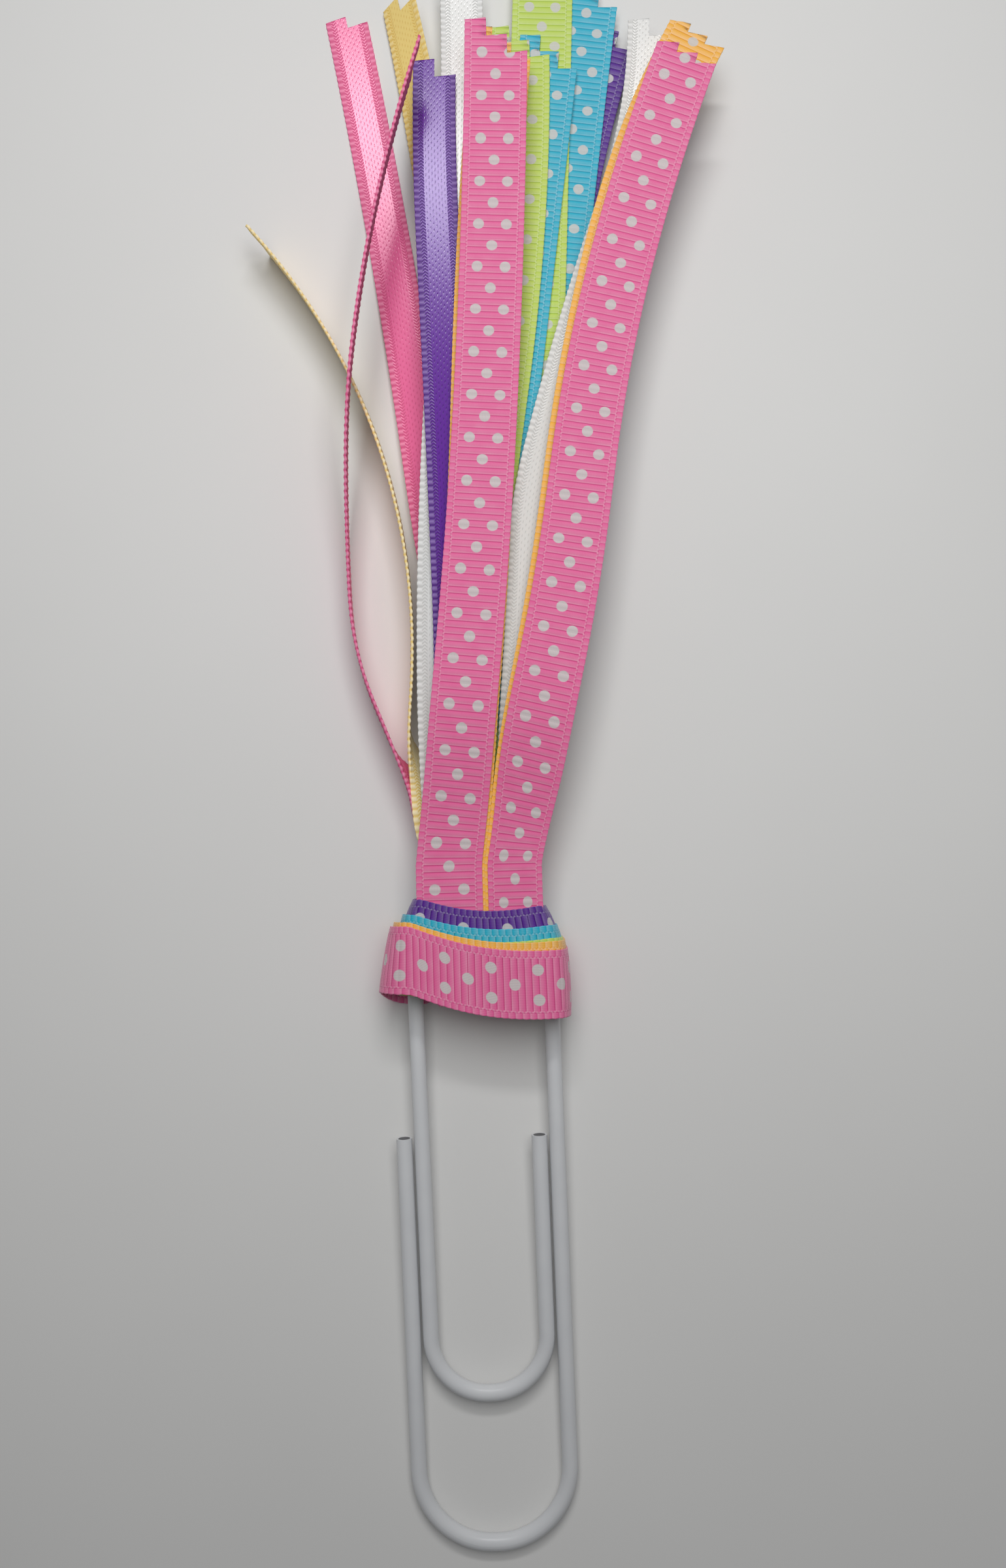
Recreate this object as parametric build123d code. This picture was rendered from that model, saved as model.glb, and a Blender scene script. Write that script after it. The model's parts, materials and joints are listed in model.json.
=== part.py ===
from build123d import *
import os
from dataclasses import dataclass
from math import asin, ceil, cos, degrees, radians, sin, sqrt, tan

# A clip-on page marker: a jumbo gem clip of coated wire, with nine ribbons hitched to its top bend.
# Millimetres. It lies on a table at Z 0 while it is built: X across the clip, +Y towards the ribbon tips,
# and the centre line of the clip's top bend crosses X 0 at Y 0. The last step moves the origin to the
# middle of the footprint.

# Clip wire
CORE_DIAMETER = 1.8
COATING_WALL = 0.3
COATING_FIT = 0.01
CLIP_LENGTH = 100.4
TOP_WIDTH = 21.1
RIGHT_LEG_SPLAY = 0.55
LEFT_LEG_TOE_IN = 1.24
INNER_LOOP_DEPTH = 76.2
FREE_END_DROP = 38.0
WIRE_GAP = 0.3
BEND_FLAT = 0.3
APEX_GAP = 0.1

# Ribbon: the gap is the air between two layers, the opening gap is the air beside the clip's legs
DOTTED_WIDTH = 10.0
DOTTED_THICKNESS = 0.25
SATIN_WIDTH = 7.0
SATIN_THICKNESS = 0.12
LAYER_GAP = 0.08
OPENING_GAP = 0.25
CENTRE_GAP = 0.2

# Hitch: where the layers wrap the legs and fold up between them
LEG_CLEARANCE = 0.4
FLEX_ROOM = 0.6
CROSSBAR_CLEARANCE = 0.15
SIDE_BEND = 1.3
CAP_SLOPE = 0.02
BAND_SAG = 1.6
BACK_SKEW = 1.0
BACK_RUN_END = 8.6
FOLD_NOSE = 0.6
FOLD_GATHER = 0.84
TAIL_RUN_EASE = 0.8

# Tassel hinge line, its swing either way, and the slack each layer needs at its ends
HINGE_Y = 3.0
TASSEL_SWING = 70.0
END_GAP = 0.15

# Tail shape beyond the hinge
SPREAD_LENGTH = 30.0
DROOP_LENGTH = 142.0
ROOT_DROOP = 5.2
TAIL_PITCH = 0.5
TAIL_ARCH = 4.0
TABLE_GAP = 0.1
GATHER_LENGTH = 17.0
STATION_STEP = 6.5
TOOTH = 3.3
EDGE_STATION_STEP = 3.0
EDGE_DUCK = 0.5
EDGE_DUCK_LENGTH = 5.0
EDGE_RISE_LAG = 5.0
EDGE_RISE_LENGTH = 12.0
EDGE_ROLL_LENGTH = 18.0
EDGE_ROLL = 85.0
CLIMB_START = 42.0
CLIMB_LENGTH = 42.0

WIRE_DIAMETER = CORE_DIAMETER + 2 * COATING_WALL
WIRE_RADIUS = WIRE_DIAMETER / 2
LINE_LENGTH = CLIP_LENGTH - WIRE_DIAMETER
TOP_HALF = TOP_WIDTH / 2


@dataclass
class Ribbon:
    name: str
    width: float
    thickness: float
    drop: float
    skew: float


@dataclass
class Tail:
    ribbon: str
    side: str
    heading: float
    arcs: list
    rank: float = 0
    on_edge: bool = False
    turn_start: float = 0.0
    climb: float = 0.0


def dotted(name, drop, skew):
    return Ribbon(name, DOTTED_WIDTH, DOTTED_THICKNESS, drop, skew)


def satin(name, drop, skew):
    return Ribbon(name, SATIN_WIDTH, SATIN_THICKNESS, drop, skew)


# Innermost layer of the hitch first; drop is how far the band's top edge lies below the clip's top bend,
# and skew is how far its left end rides up and its right end down across the front
RIBBONS = [
    satin("pink_satin", 5.4, 0.8),
    satin("yellow_satin", 5.6, 0.8),
    dotted("purple_dotted", 4.2, 0.8),
    dotted("turquoise_dotted", 6.4, 0.8),
    dotted("lime_dotted", 7.2, 1.0),
    satin("white_satin", 9.0, 1.1),
    satin("purple_satin", 9.4, 1.2),
    dotted("gold_dotted", 8.1, 1.35),
    dotted("pink_dotted", 9.3, 1.75),
]

# Headings in degrees from +Y towards +X; each arc is (length, heading at its end); rank 0 lies lowest
TAILS = [
    Tail("pink_satin", "right", -13.7, [(65, -6.6), (81, -10.3)], 0),
    Tail("yellow_satin", "right", -5, [(70, -3), (76, -10)], 1),
    Tail("purple_dotted", "left", 0, [(30, 4), (100, 6)], 2),
    Tail("purple_dotted", "right", 6, [(70, 5), (74, 19)], 3),
    Tail("turquoise_dotted", "right", 5, [(70, 7), (80, 9)], 4),
    Tail("lime_dotted", "right", 6, [(70, 3.5), (83, 3)], 5),
    Tail("turquoise_dotted", "left", 0, [(70, 14.5), (68, 3)], 6),
    Tail("lime_dotted", "left", 0, [(70, 13), (72, -3)], 7),
    Tail("white_satin", "left", -3, [(30, 0.7), (60, 5.8), (59, -0.7)], 8),
    Tail("white_satin", "right", 8.5, [(48, 3.4), (16, 15.6), (46, 19.6), (32, 2)], 9),
    Tail("purple_satin", "left", 7, [(40, -1), (60, -1.7), (32, 2.2)], 10),
    Tail("purple_satin", "right", 12, [(60, 10), (40, 12.3), (34, 26)], 11),
    Tail("gold_dotted", "left", 9, [(70, 2.6), (67, 6)], 12),
    Tail("gold_dotted", "right", 15, [(60, 8.7), (40, 15.8), (40, 29)], 13),
    Tail("pink_dotted", "left", 8, [(70, 4.3), (68, 2)], 14),
    Tail("pink_dotted", "right", 17.4, [(60, 9), (40, 16), (36, 24)], 15),
    Tail("yellow_satin", "left", -25, [(8, -4), (18, 5.5), (26, -9), (58, -41)], on_edge=True, turn_start=5),
    Tail("pink_satin", "left", -25, [(8, -4), (6, -18), (12, -22), (18, -2), (24, 5), (64, 18.5)], on_edge=True,
         turn_start=2, climb=8),
]
TOP_RANK = 15

SIDES = {"left": -1, "right": 1}
BY_NAME = {ribbon.name: ribbon for ribbon in RIBBONS}


def layer_offsets():
    """How far each ribbon's middle lies from the inside of the wrapped stack, and the stack's depth."""
    offsets = {}
    depth = 0.0
    for ribbon in RIBBONS:
        offsets[ribbon.name] = depth + ribbon.thickness / 2
        depth += ribbon.thickness + LAYER_GAP
    return offsets, depth - LAYER_GAP


OFFSETS, STACK = layer_offsets()

# Levels: the stack lies under the legs at the hitch, and the clip's far bend lies on the table
KNOT_BOTTOM = max(ribbon.drop + ribbon.width for ribbon in RIBBONS)
CLIP_TILT = degrees(asin((STACK + LEG_CLEARANCE) / (LINE_LENGTH - KNOT_BOTTOM)))
APEX_Z = WIRE_RADIUS + LINE_LENGTH * sin(radians(CLIP_TILT))
BACK_Z = STACK
TAIL_RUN_Z = APEX_Z + WIRE_RADIUS + FLEX_ROOM
FRONT_Z = TAIL_RUN_Z + STACK + CROSSBAR_CLEARANCE
MIDDLE_Z = (BACK_Z + FRONT_Z) / 2
HINGE_Z = TAIL_RUN_Z + STACK / 2

# Half width of the wrapped stack's inside at the clip's legs, and the room for a tail between them
WRAP_HALF = TOP_HALF + KNOT_BOTTOM * tan(radians(RIGHT_LEG_SPLAY)) + WIRE_RADIUS + LEG_CLEARANCE
TOE_IN_AT_FOLD = KNOT_BOTTOM / 2 * tan(radians(LEFT_LEG_TOE_IN))
ROOT_WIDTH = TOP_HALF - TOE_IN_AT_FOLD - WIRE_RADIUS - OPENING_GAP - CENTRE_GAP / 2
ROOT_X = CENTRE_GAP / 2 + ROOT_WIDTH / 2


def smooth(t):
    """Eases from 0 to 1."""
    t = min(max(t, 0.0), 1.0)
    return t * t * t * (10 - 15 * t + 6 * t * t)


def strip_section(centre, across, normal, width, thickness):
    """A ribbon's rectangular cut, with its width along across and its upper face along normal."""
    across = across.normalized()
    normal = (normal - across * normal.dot(across)).normalized()
    half = across * (width / 2)
    up = normal * (thickness / 2)
    corners = [centre - half - up, centre + half - up, centre + half + up, centre - half + up]
    return Face(Wire.make_polygon(corners))


# Clip

def right_leg_x(y):
    return TOP_HALF - y * tan(radians(RIGHT_LEG_SPLAY))


def left_leg_x(y):
    return -TOP_HALF - y * tan(radians(LEFT_LEG_TOE_IN))


def outer_path():
    """From the apex down the right leg, round the far bend and up to the left free end."""
    far = -LINE_LENGTH
    apart = WIRE_DIAMETER + WIRE_GAP
    left = left_leg_x(far) - apart
    right = right_leg_x(far)
    points = [
        (APEX_GAP / 2, 0),
        (right_leg_x(0), 0),
        (right, far),
        (left, far),
        (left_leg_x(-FREE_END_DROP) - apart, -FREE_END_DROP),
    ]
    far_radius = (right - left) / 2 - BEND_FLAT
    return FilletPolyline(*points, radius=[TOP_HALF - BEND_FLAT, far_radius, far_radius])


def inner_path():
    """From the apex down the left leg, round the inner bend and up to the right free end."""
    depth = -INNER_LOOP_DEPTH
    apart = WIRE_DIAMETER + WIRE_GAP
    left = left_leg_x(depth)
    right = right_leg_x(depth) - apart
    points = [
        (-APEX_GAP / 2, 0),
        (left_leg_x(0), 0),
        (left, depth),
        (right, depth),
        (right_leg_x(-FREE_END_DROP) - apart, -FREE_END_DROP),
    ]
    inner_radius = (right - left) / 2 - BEND_FLAT
    return FilletPolyline(*points, radius=[TOP_HALF - BEND_FLAT, inner_radius, inner_radius])


def wire_pieces(path):
    """The steel core and its coating along one half of the clip."""
    start = Plane(origin=path @ 0, z_dir=path % 0)
    core = sweep(start * Circle(CORE_DIAMETER / 2), path=path)
    bore = CORE_DIAMETER / 2 + COATING_FIT
    coating = sweep(start * (Circle(WIRE_RADIUS) - Circle(bore)), path=path)
    lie = Location((0, 0, APEX_Z), (CLIP_TILT, 0, 0))
    return lie * core, lie * coating


# Hitch

def band_lift(x, skew):
    """How far a band's edge rises at x: it sags in the middle and hangs askew."""
    share = x / WRAP_HALF
    return BAND_SAG * share * share - skew * share


def band_section(ribbon, x_at, z, normal, lift):
    """A cut across a band from its bottom edge to its top edge, where x_at gives the place of each edge."""
    top = Vector(x_at(ribbon.drop), lift - ribbon.drop, z)
    bottom = Vector(x_at(ribbon.drop + ribbon.width), lift - ribbon.drop - ribbon.width, z)
    return strip_section((top + bottom) / 2, top - bottom, normal, ribbon.width, ribbon.thickness)


def half_hitch(ribbon, side):
    """Cuts along half a ribbon's hitch: crossbar, side bend, back, fold and the run up over the top bend."""
    offset = OFFSETS[ribbon.name]
    cuts = []
    for share in (0.5, 1.0):
        x = side * share * (WRAP_HALF - SIDE_BEND)
        lift = band_lift(x, ribbon.skew)
        cuts.append(band_section(ribbon, lambda drop: x, FRONT_Z + offset, Vector(0, 0, 1), lift))
    front_lift = lift
    back_lift = band_lift(x, BACK_SKEW)
    rise = (FRONT_Z - BACK_Z) / 2 + offset
    for angle in (60, 30, 0, -30, -60):
        out = cos(radians(angle))
        up = sin(radians(angle))
        lift = back_lift + (front_lift - back_lift) * (1 + up) / 2

        def edge_x(drop):
            narrowing = CAP_SLOPE * (KNOT_BOTTOM - drop)
            return side * (WRAP_HALF - narrowing - SIDE_BEND + (SIDE_BEND + offset) * out)

        normal = Vector(side * out, 0, up)
        cuts.append(band_section(ribbon, edge_x, MIDDLE_Z + rise * up, normal, lift))
    for x in (WRAP_HALF - SIDE_BEND, BACK_RUN_END):
        cuts.append(band_section(ribbon, lambda drop: side * x, BACK_Z - offset, Vector(0, 0, -1), back_lift))
    cuts.extend(fold(ribbon, side, back_lift))
    return cuts


def fold(ribbon, side, lift):
    """The diagonal fold that turns the layer over, and the run from it to the hinge line."""
    offset = OFFSETS[ribbon.name]
    gathered = ribbon.width * FOLD_GATHER
    fold_z = (BACK_Z + TAIL_RUN_Z) / 2
    fold_rise = (TAIL_RUN_Z - BACK_Z) / 2
    nose = Vector(-side, -1, 0).normalized()
    along = Vector(-side, 1, 0)
    room = CENTRE_GAP / 2 + (FOLD_NOSE + STACK + DOTTED_WIDTH * FOLD_GATHER / 2) / sqrt(2)
    axis = Vector(side * room, lift - ribbon.drop - ribbon.width / 2, fold_z)
    cuts = []
    for angle in (-45, 0, 45):
        reach = cos(radians(angle))
        up = sin(radians(angle))
        centre = axis + nose * ((FOLD_NOSE + offset) * reach) + Vector(0, 0, (fold_rise + offset) * up)
        cuts.append(strip_section(centre, along, nose * reach + Vector(0, 0, up), gathered, ribbon.thickness))
    wrapped = RIBBONS[RIBBONS.index(ribbon):]
    tops = [outer.width * FOLD_GATHER / 2 / sqrt(2) - outer.drop - outer.width / 2 for outer in wrapped]
    for y in (lift + max(tops) + TAIL_RUN_EASE, HINGE_Y - end_slack(ribbon)):
        centre = Vector(side * ROOT_X, y, TAIL_RUN_Z + offset)
        cuts.append(strip_section(centre, Vector(-side, 0, 0), Vector(0, 0, 1), root_width(ribbon), ribbon.thickness))
    return cuts


def end_slack(ribbon):
    """How far a layer stops short of the hinge line, so that the tassel swings both ways."""
    height = abs(TAIL_RUN_Z + OFFSETS[ribbon.name] - HINGE_Z) + ribbon.thickness / 2
    return END_GAP + height * tan(radians(TASSEL_SWING / 2))


def root_width(ribbon):
    return min(ribbon.width, ROOT_WIDTH)


def hitch(ribbon):
    """One ribbon's loop: its crossbar over the tails and both ends folded up through the clip."""
    middle = band_section(ribbon, lambda drop: 0, FRONT_Z + OFFSETS[ribbon.name], Vector(0, 0, 1), 0)
    left = half_hitch(ribbon, SIDES["left"])
    right = half_hitch(ribbon, SIDES["right"])
    return loft(left[::-1] + [middle] + right, ruled=True)


# Tails

def tail_height(tail, ribbon, y):
    """Height of a flat tail's middle: from its layer at the hinge to its place in the fanned pile."""
    root = TAIL_RUN_Z + OFFSETS[ribbon.name]
    along = (y - HINGE_Y) / DROOP_LENGTH
    droop = ROOT_DROOP * max(1 - along, 0) ** 2
    arch = TAIL_ARCH * tail.rank / TOP_RANK * 4 * along * (1 - along)
    fanned = TABLE_GAP + droop + TAIL_PITCH * tail.rank + max(arch, 0)
    return root + (fanned - root) * smooth((y - HINGE_Y) / SPREAD_LENGTH)


def edge_height(tail, ribbon, run):
    """Height of the upper edge of a tail that turns on edge: it ducks under the flat tails, rises beside them
    until its lower edge stands on the table, and may climb over another such tail."""
    root = TAIL_RUN_Z + OFFSETS[ribbon.name]
    ducked = root - EDGE_DUCK * smooth(run / EDGE_DUCK_LENGTH)
    standing = ribbon.width + TABLE_GAP
    risen = ducked + (standing - ducked) * smooth((run - tail.turn_start - EDGE_RISE_LAG) / EDGE_RISE_LENGTH)
    return risen + tail.climb * smooth((run - CLIMB_START) / CLIMB_LENGTH)


def plan_stations(tail, ribbon):
    """Points and headings along a tail's middle, or along the left edge of one that turns on edge, seen from
    above, with the run to each."""
    x = SIDES[tail.side] * ROOT_X - (root_width(ribbon) / 2 if tail.on_edge else 0)
    y = HINGE_Y + end_slack(ribbon)
    heading = tail.heading
    run = 0.0
    stations = [(x, y, heading, run)]
    for length, end_heading in tail.arcs:
        steps = ceil(length / (EDGE_STATION_STEP if tail.on_edge else STATION_STEP))
        step = length / steps
        turn = (end_heading - heading) / steps
        for _ in range(steps):
            middle = radians(heading + turn / 2)
            x += step * sin(middle)
            y += step * cos(middle)
            heading += turn
            run += step
            stations.append((x, y, heading, run))
    return stations


def tail_cuts(tail, ribbon):
    """Cuts along a tail, and its last station for the pinked end."""
    stations = plan_stations(tail, ribbon)
    points = []
    for x, y, heading, run in stations:
        z = edge_height(tail, ribbon, run) if tail.on_edge else tail_height(tail, ribbon, y)
        points.append(Vector(x, y, z))
    cuts = []
    for index, (x, y, heading, run) in enumerate(stations):
        before = points[max(index - 1, 0)]
        after = points[min(index + 1, len(points) - 1)]
        # The first cut lies along the hinge line, so that no corner reaches back over it
        level = Vector(cos(radians(heading)), -sin(radians(heading)), 0) if index else Vector(1, 0, 0)
        forward = after - before if index else Vector(0, 1, 0)
        upward = level.cross(forward).normalized()
        share = smooth((run - tail.turn_start) / EDGE_ROLL_LENGTH) if tail.on_edge else 0
        roll = radians(EDGE_ROLL * share)
        across = level * cos(roll) - upward * sin(roll)
        normal = upward * cos(roll) + level * sin(roll)
        root = root_width(ribbon)
        width = root + (ribbon.width - root) * smooth(run / GATHER_LENGTH)
        centre = points[index] + across * (width / 2) if tail.on_edge else points[index]
        cuts.append(strip_section(centre, across, normal, width, ribbon.thickness))
    return cuts, stations[-1]


def pinking(ribbon, x, y, heading):
    """What a stair-stepped cut takes off a tail's end, from its long left corner to its short right one."""
    half = ribbon.width / 2
    steps = round(ribbon.width / TOOTH)
    tooth = ribbon.width / steps
    stairs = []
    for step in range(steps):
        stairs.append((-half + step * tooth, -step * tooth))
        stairs.append((-half + (step + 1) * tooth, -step * tooth))
    outer = [(half + tooth, stairs[-1][1]), (half + tooth, tooth), (-half - tooth, tooth), (-half - tooth, 0)]
    waste = extrude(make_face(Polyline(*stairs, *outer, close=True)), amount=FRONT_Z * 3)
    return Location((x, y, -FRONT_Z), (0, 0, -heading)) * waste


def tail_piece(tail):
    ribbon = BY_NAME[tail.ribbon]
    cuts, (x, y, heading, run) = tail_cuts(tail, ribbon)
    strip = loft(cuts, ruled=tail.on_edge)
    return strip if tail.on_edge else strip - pinking(ribbon, x, y, heading)


def all_pieces():
    pieces = {}
    pieces["outer_loop_core"], pieces["outer_loop_coating"] = wire_pieces(outer_path())
    pieces["inner_loop_core"], pieces["inner_loop_coating"] = wire_pieces(inner_path())
    for ribbon in RIBBONS:
        pieces[ribbon.name + "_hitch"] = hitch(ribbon)
    for tail in TAILS:
        pieces[f"{tail.ribbon}_{tail.side}_tail"] = tail_piece(tail)
    return pieces


pieces = all_pieces()
box = Compound(children=[piece.solids()[0] for piece in pieces.values()]).bounding_box()
to_footprint = Location((-box.center().X, -box.center().Y, -box.min.Z))
os.makedirs("parts", exist_ok=True)
for name, piece in pieces.items():
    export_step(to_footprint * piece, f"parts/{name}.step")

apex = to_footprint * Location((0, 0, APEX_Z))
hinge = to_footprint * Location((0, HINGE_Y, HINGE_Z))
print("clip flex axis through", apex.position)
print("tassel hinge axis through", hinge.position)
print("size", box.size)
print("clip tilt", CLIP_TILT, "root width", ROOT_WIDTH, "stack", STACK)
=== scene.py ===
import json
from collections import namedtuple
from math import ceil, cos, pi, radians, sin, sqrt, tan

import bmesh
import bpy
import numpy as np
from mathutils import Matrix, Vector


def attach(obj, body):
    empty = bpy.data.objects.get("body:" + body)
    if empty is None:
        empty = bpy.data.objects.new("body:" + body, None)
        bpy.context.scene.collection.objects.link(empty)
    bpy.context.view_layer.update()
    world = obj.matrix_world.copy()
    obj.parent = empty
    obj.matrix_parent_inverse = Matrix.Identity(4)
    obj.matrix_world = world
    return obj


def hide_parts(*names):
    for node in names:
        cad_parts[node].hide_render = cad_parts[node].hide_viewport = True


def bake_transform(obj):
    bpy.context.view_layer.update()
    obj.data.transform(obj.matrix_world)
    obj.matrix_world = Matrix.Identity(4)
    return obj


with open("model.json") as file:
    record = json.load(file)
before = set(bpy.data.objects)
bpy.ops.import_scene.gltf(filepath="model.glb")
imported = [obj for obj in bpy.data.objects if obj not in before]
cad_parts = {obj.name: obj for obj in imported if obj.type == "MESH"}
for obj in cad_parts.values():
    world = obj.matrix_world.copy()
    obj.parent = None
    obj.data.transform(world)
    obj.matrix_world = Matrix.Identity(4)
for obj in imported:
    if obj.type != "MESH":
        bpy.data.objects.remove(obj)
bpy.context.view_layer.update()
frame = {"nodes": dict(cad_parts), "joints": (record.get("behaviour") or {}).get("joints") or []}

# A jumbo paper clip with nine ribbons hitched on its top bend. Sizes are in millimetres, in a frame whose origin
# lies under the clip's top bend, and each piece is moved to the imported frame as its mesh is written.
MM = 0.001
joints = {joint["name"]: joint for joint in frame["joints"]}
apex = Vector(joints["clip_flex"]["pos_m"])
ORIGIN = np.array((apex.x, apex.y, 0.0))
SIDES = {"left": -1, "right": 1}

# Clip, with the sizes of its solids
APEX_Z = apex.z / MM
TOP_HALF = 10.55
WIRE_RADIUS = 1.2
RIGHT_LEG_SPLAY = 0.55
LEG_LEAN = {"left": -0.0216, "right": 0.0096}

# Ribbons
DOTTED_WIDTH = 10.0
DOTTED_THICKNESS = 0.25
SATIN_WIDTH = 7.0
SATIN_THICKNESS = 0.12
EDGE_THICKNESS = 0.4
LAYER_GAP = 0.08

# Hitch: the crossbar in front, the bend round each leg, the run behind it and the fold up between the legs
CROSSBAR_SHARES = (0.25, 0.5, 0.8, 1.0)
CROSSBAR_CLEARANCE = 0.15
BAND_SAG = 1.6
LEG_CLEARANCE = 0.4
LEG_SLACK = 0.25
SIDE_BEND = 1.3
BEND_ANGLES = (60, 30, 0, -30, -60)
BEND_EASE = 1.035
LAYER_PRESS = 0.55
SKIRT_FLARE = {"left": 2.9, "right": 0.0}
CROWN = 0.8
CROWN_LEAST = 0.1
BACK_HANG = 1.4
BACK_SKEW = 1.0
BACK_RUN_END = 8.6
CENTRE_GAP = 0.2
FOLD_NOSE = 0.6
FOLD_GATHER = 0.84
FLEX_ROOM = 0.6
TAIL_RUN_EASE = 0.8

# Tails: they leave the hitch at the hinge line, spread and droop, and lie in a pile by rank
HINGE_Y = 3.0
END_SLACK = 0.6
CAD_ROOT_X = 4.4956
SPREAD_LENGTH = 30.0
DROOP_LENGTH = 142.0
ROOT_DROOP = 5.2
TAIL_PITCH = 0.5
TAIL_ARCH = 2.0
TOP_RANK = 15
TIP_CURL = {"pink_dotted": 5.0}
TABLE_GAP = 0.1
GATHER_LENGTH = 20.0
STATION_STEP = 6.5

# Tails on edge: they duck under the crossbar, roll over and rise, and one climbs over the other
EDGE_STATION_STEP = 3.0
EDGE_DUCK = 0.5
EDGE_DUCK_LENGTH = 5.0
EDGE_RISE_LAG = 5.0
EDGE_RISE_LENGTH = 12.0
EDGE_ROLL_LENGTH = 18.0
CLIMB_START = 42.0
CLIMB_LENGTH = 42.0

# Where the tails come out from under the crossbar: (middle, most width)
ROOT = {"left": (-4.35, 10.0), "right": (5.2, 8.4)}
OWN_ROOT = {("pink_dotted", "right"): (5.6, 8.2), ("gold_dotted", "left"): (-3.95, 10.0)}

# Weave of the dotted ribbons
RIB_PITCH = 1.06
RIB_ROWS = 4
RIB_HEIGHT = 0.065
SELVAGE = 1.05
SELVAGE_RIB = 0.5
LINE_REACH = 0.14
LINE_PRESS = 0.8
LINE_STITCH = 0.05
LINE_COLUMN = 0.16
BODY_INSET = 0.9
EDGE_INSETS = (0.5, 0.14, 0.0)
EDGE_BEAD_REACH = 0.35
EDGE_BEAD_BULGE = 0.03

# Weave of the satin ribbons
BEAD_PITCH = 1.07
BEAD_ROWS = 4
SATIN_SELVAGE = 0.85
SATIN_BAR = 0.028
SATIN_LINE_REACH = 0.13
SATIN_LINE_COLUMN = 0.14
SATIN_STITCH = 0.035
SATIN_BEAD_REACH = 0.32
SATIN_BEAD = 0.05
SATIN_BEAD_BULGE = 0.04

# Cut ends: a tooth of the pinking shears, half the run of the riser between two teeth, and the stairs as
# (fall from one tooth to the next as a share of a tooth, rise within one)
TOOTH = 3.33
RISER = 0.02
STAIRS = (0.8, 0.4)
OWN_STAIRS = {
    ("pink_dotted", "right"): (0.2, 1.0),
    ("gold_dotted", "right"): (0.2, 1.0),
    ("pink_satin", "right"): (0.45, 0.5),
    ("yellow_satin", "right"): (0.6, 0.4),
}

# The drop is that of the band's top edge, and the skew is its slant across the front. From the inner layer outwards.
# The last colour of each ribbon is its colour in painted shade, for the grooves and the gaps of the weave.
Ribbon = namedtuple("Ribbon", "width thickness drop skew colour groove_colour")
RIBBONS = {
    "pink_satin": Ribbon(SATIN_WIDTH, SATIN_THICKNESS, 7.0, 0.8, (0.86, 0.15, 0.35), (0.62, 0.07, 0.2)),
    "yellow_satin": Ribbon(SATIN_WIDTH, SATIN_THICKNESS, 7.2, 0.8, (0.99, 0.77, 0.27), (0.82, 0.55, 0.13)),
    "purple_dotted": Ribbon(DOTTED_WIDTH, DOTTED_THICKNESS, 3.6, 0.8, (0.08, 0.001, 0.26), (0.035, 0.001, 0.13)),
    "turquoise_dotted": Ribbon(DOTTED_WIDTH, DOTTED_THICKNESS, 6.25, 1.2, (0.003, 0.43, 0.6), (0.002, 0.24, 0.38)),
    "lime_dotted": Ribbon(DOTTED_WIDTH, DOTTED_THICKNESS, 8.15, 1.2, (0.51, 0.67, 0.09), (0.31, 0.46, 0.03)),
    "white_satin": Ribbon(SATIN_WIDTH, SATIN_THICKNESS, 9.0, 1.1, (0.77, 0.77, 0.75), (0.55, 0.55, 0.53)),
    "purple_satin": Ribbon(SATIN_WIDTH, SATIN_THICKNESS, 9.4, 1.2, (0.125, 0.018, 0.33), (0.055, 0.008, 0.16)),
    "gold_dotted": Ribbon(DOTTED_WIDTH, DOTTED_THICKNESS, 7.95, 1.9, (0.92, 0.46, 0.04), (0.7, 0.28, 0.02)),
    "pink_dotted": Ribbon(DOTTED_WIDTH, DOTTED_THICKNESS, 8.9, 2.3, (0.8, 0.11, 0.32), (0.54, 0.045, 0.18)),
}
NAMES = list(RIBBONS)

# (ribbon, side): (start heading, [(arc length, heading at its end)], rank in the pile)
TAILS = {
    ("pink_satin", "right"): (-13.7, [(65, -6.6), (81, -10.3)], 0),
    ("yellow_satin", "right"): (-5, [(70, -3), (76, -10)], 1),
    ("purple_dotted", "left"): (8, [(30, 5), (100, 2.4)], 2),
    ("purple_dotted", "right"): (6, [(70, 5), (74, 19)], 3),
    ("turquoise_dotted", "right"): (5, [(70, 7), (80, 9)], 4),
    ("lime_dotted", "right"): (6, [(70, 3.5), (83, 3)], 5),
    ("turquoise_dotted", "left"): (8, [(40, 9), (35, 8.3), (63.6, 7.9)], 6),
    ("lime_dotted", "left"): (8, [(40, 5.7), (35, 9.4), (64.7, 0.4)], 7),
    ("white_satin", "left"): (-3, [(30, 0.7), (60, 5.8), (59, -0.7)], 8),
    ("white_satin", "right"): (8.5, [(48, 3.4), (16, 15.6), (46, 19.6), (32, 2)], 9),
    ("purple_satin", "left"): (7, [(40, -1), (60, -1.7), (32, 2.2)], 10),
    ("purple_satin", "right"): (11, [(15, 15), (45, 9), (40, 15.3), (35, 26)], 11),
    ("gold_dotted", "left"): (9, [(70, 2.6), (67, 6)], 12),
    ("gold_dotted", "right"): (10, [(15, 14.5), (45, 8.5), (40, 15.2), (40, 29)], 13),
    ("pink_dotted", "left"): (8, [(70, 4.3), (64.5, 2)], 14),
    ("pink_dotted", "right"): (11, [(15, 16), (45, 8.5), (40, 16.5), (32.5, 22.5)], 15),
    ("yellow_satin", "left"): (-25, [(8, -4), (18, 5.5), (26, -9), (58, -41)], 0),
    ("pink_satin", "left"): (-25, [(8, -4), (6, -18), (12, -22), (18, -2), (24, 5), (64, 18.5)], 0),
}

# Tails that turn on edge: (run at which the turn starts, climb over another such tail)
ON_EDGE = {("yellow_satin", "left"): (5.0, 0.0), ("pink_satin", "left"): (2.0, 8.0)}

# Roll of the tails that do not lie flat: (runs, degrees), with the right edge going down
ROLL = {
    ("yellow_satin", "left"): ((0, 34, 56, 110), (96, 95, 90, 80)),
    ("pink_satin", "left"): ((0, 60, 132), (92, 96, 102)),
    ("yellow_satin", "right"): ((60, 146), (0, -40)),
}


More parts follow.
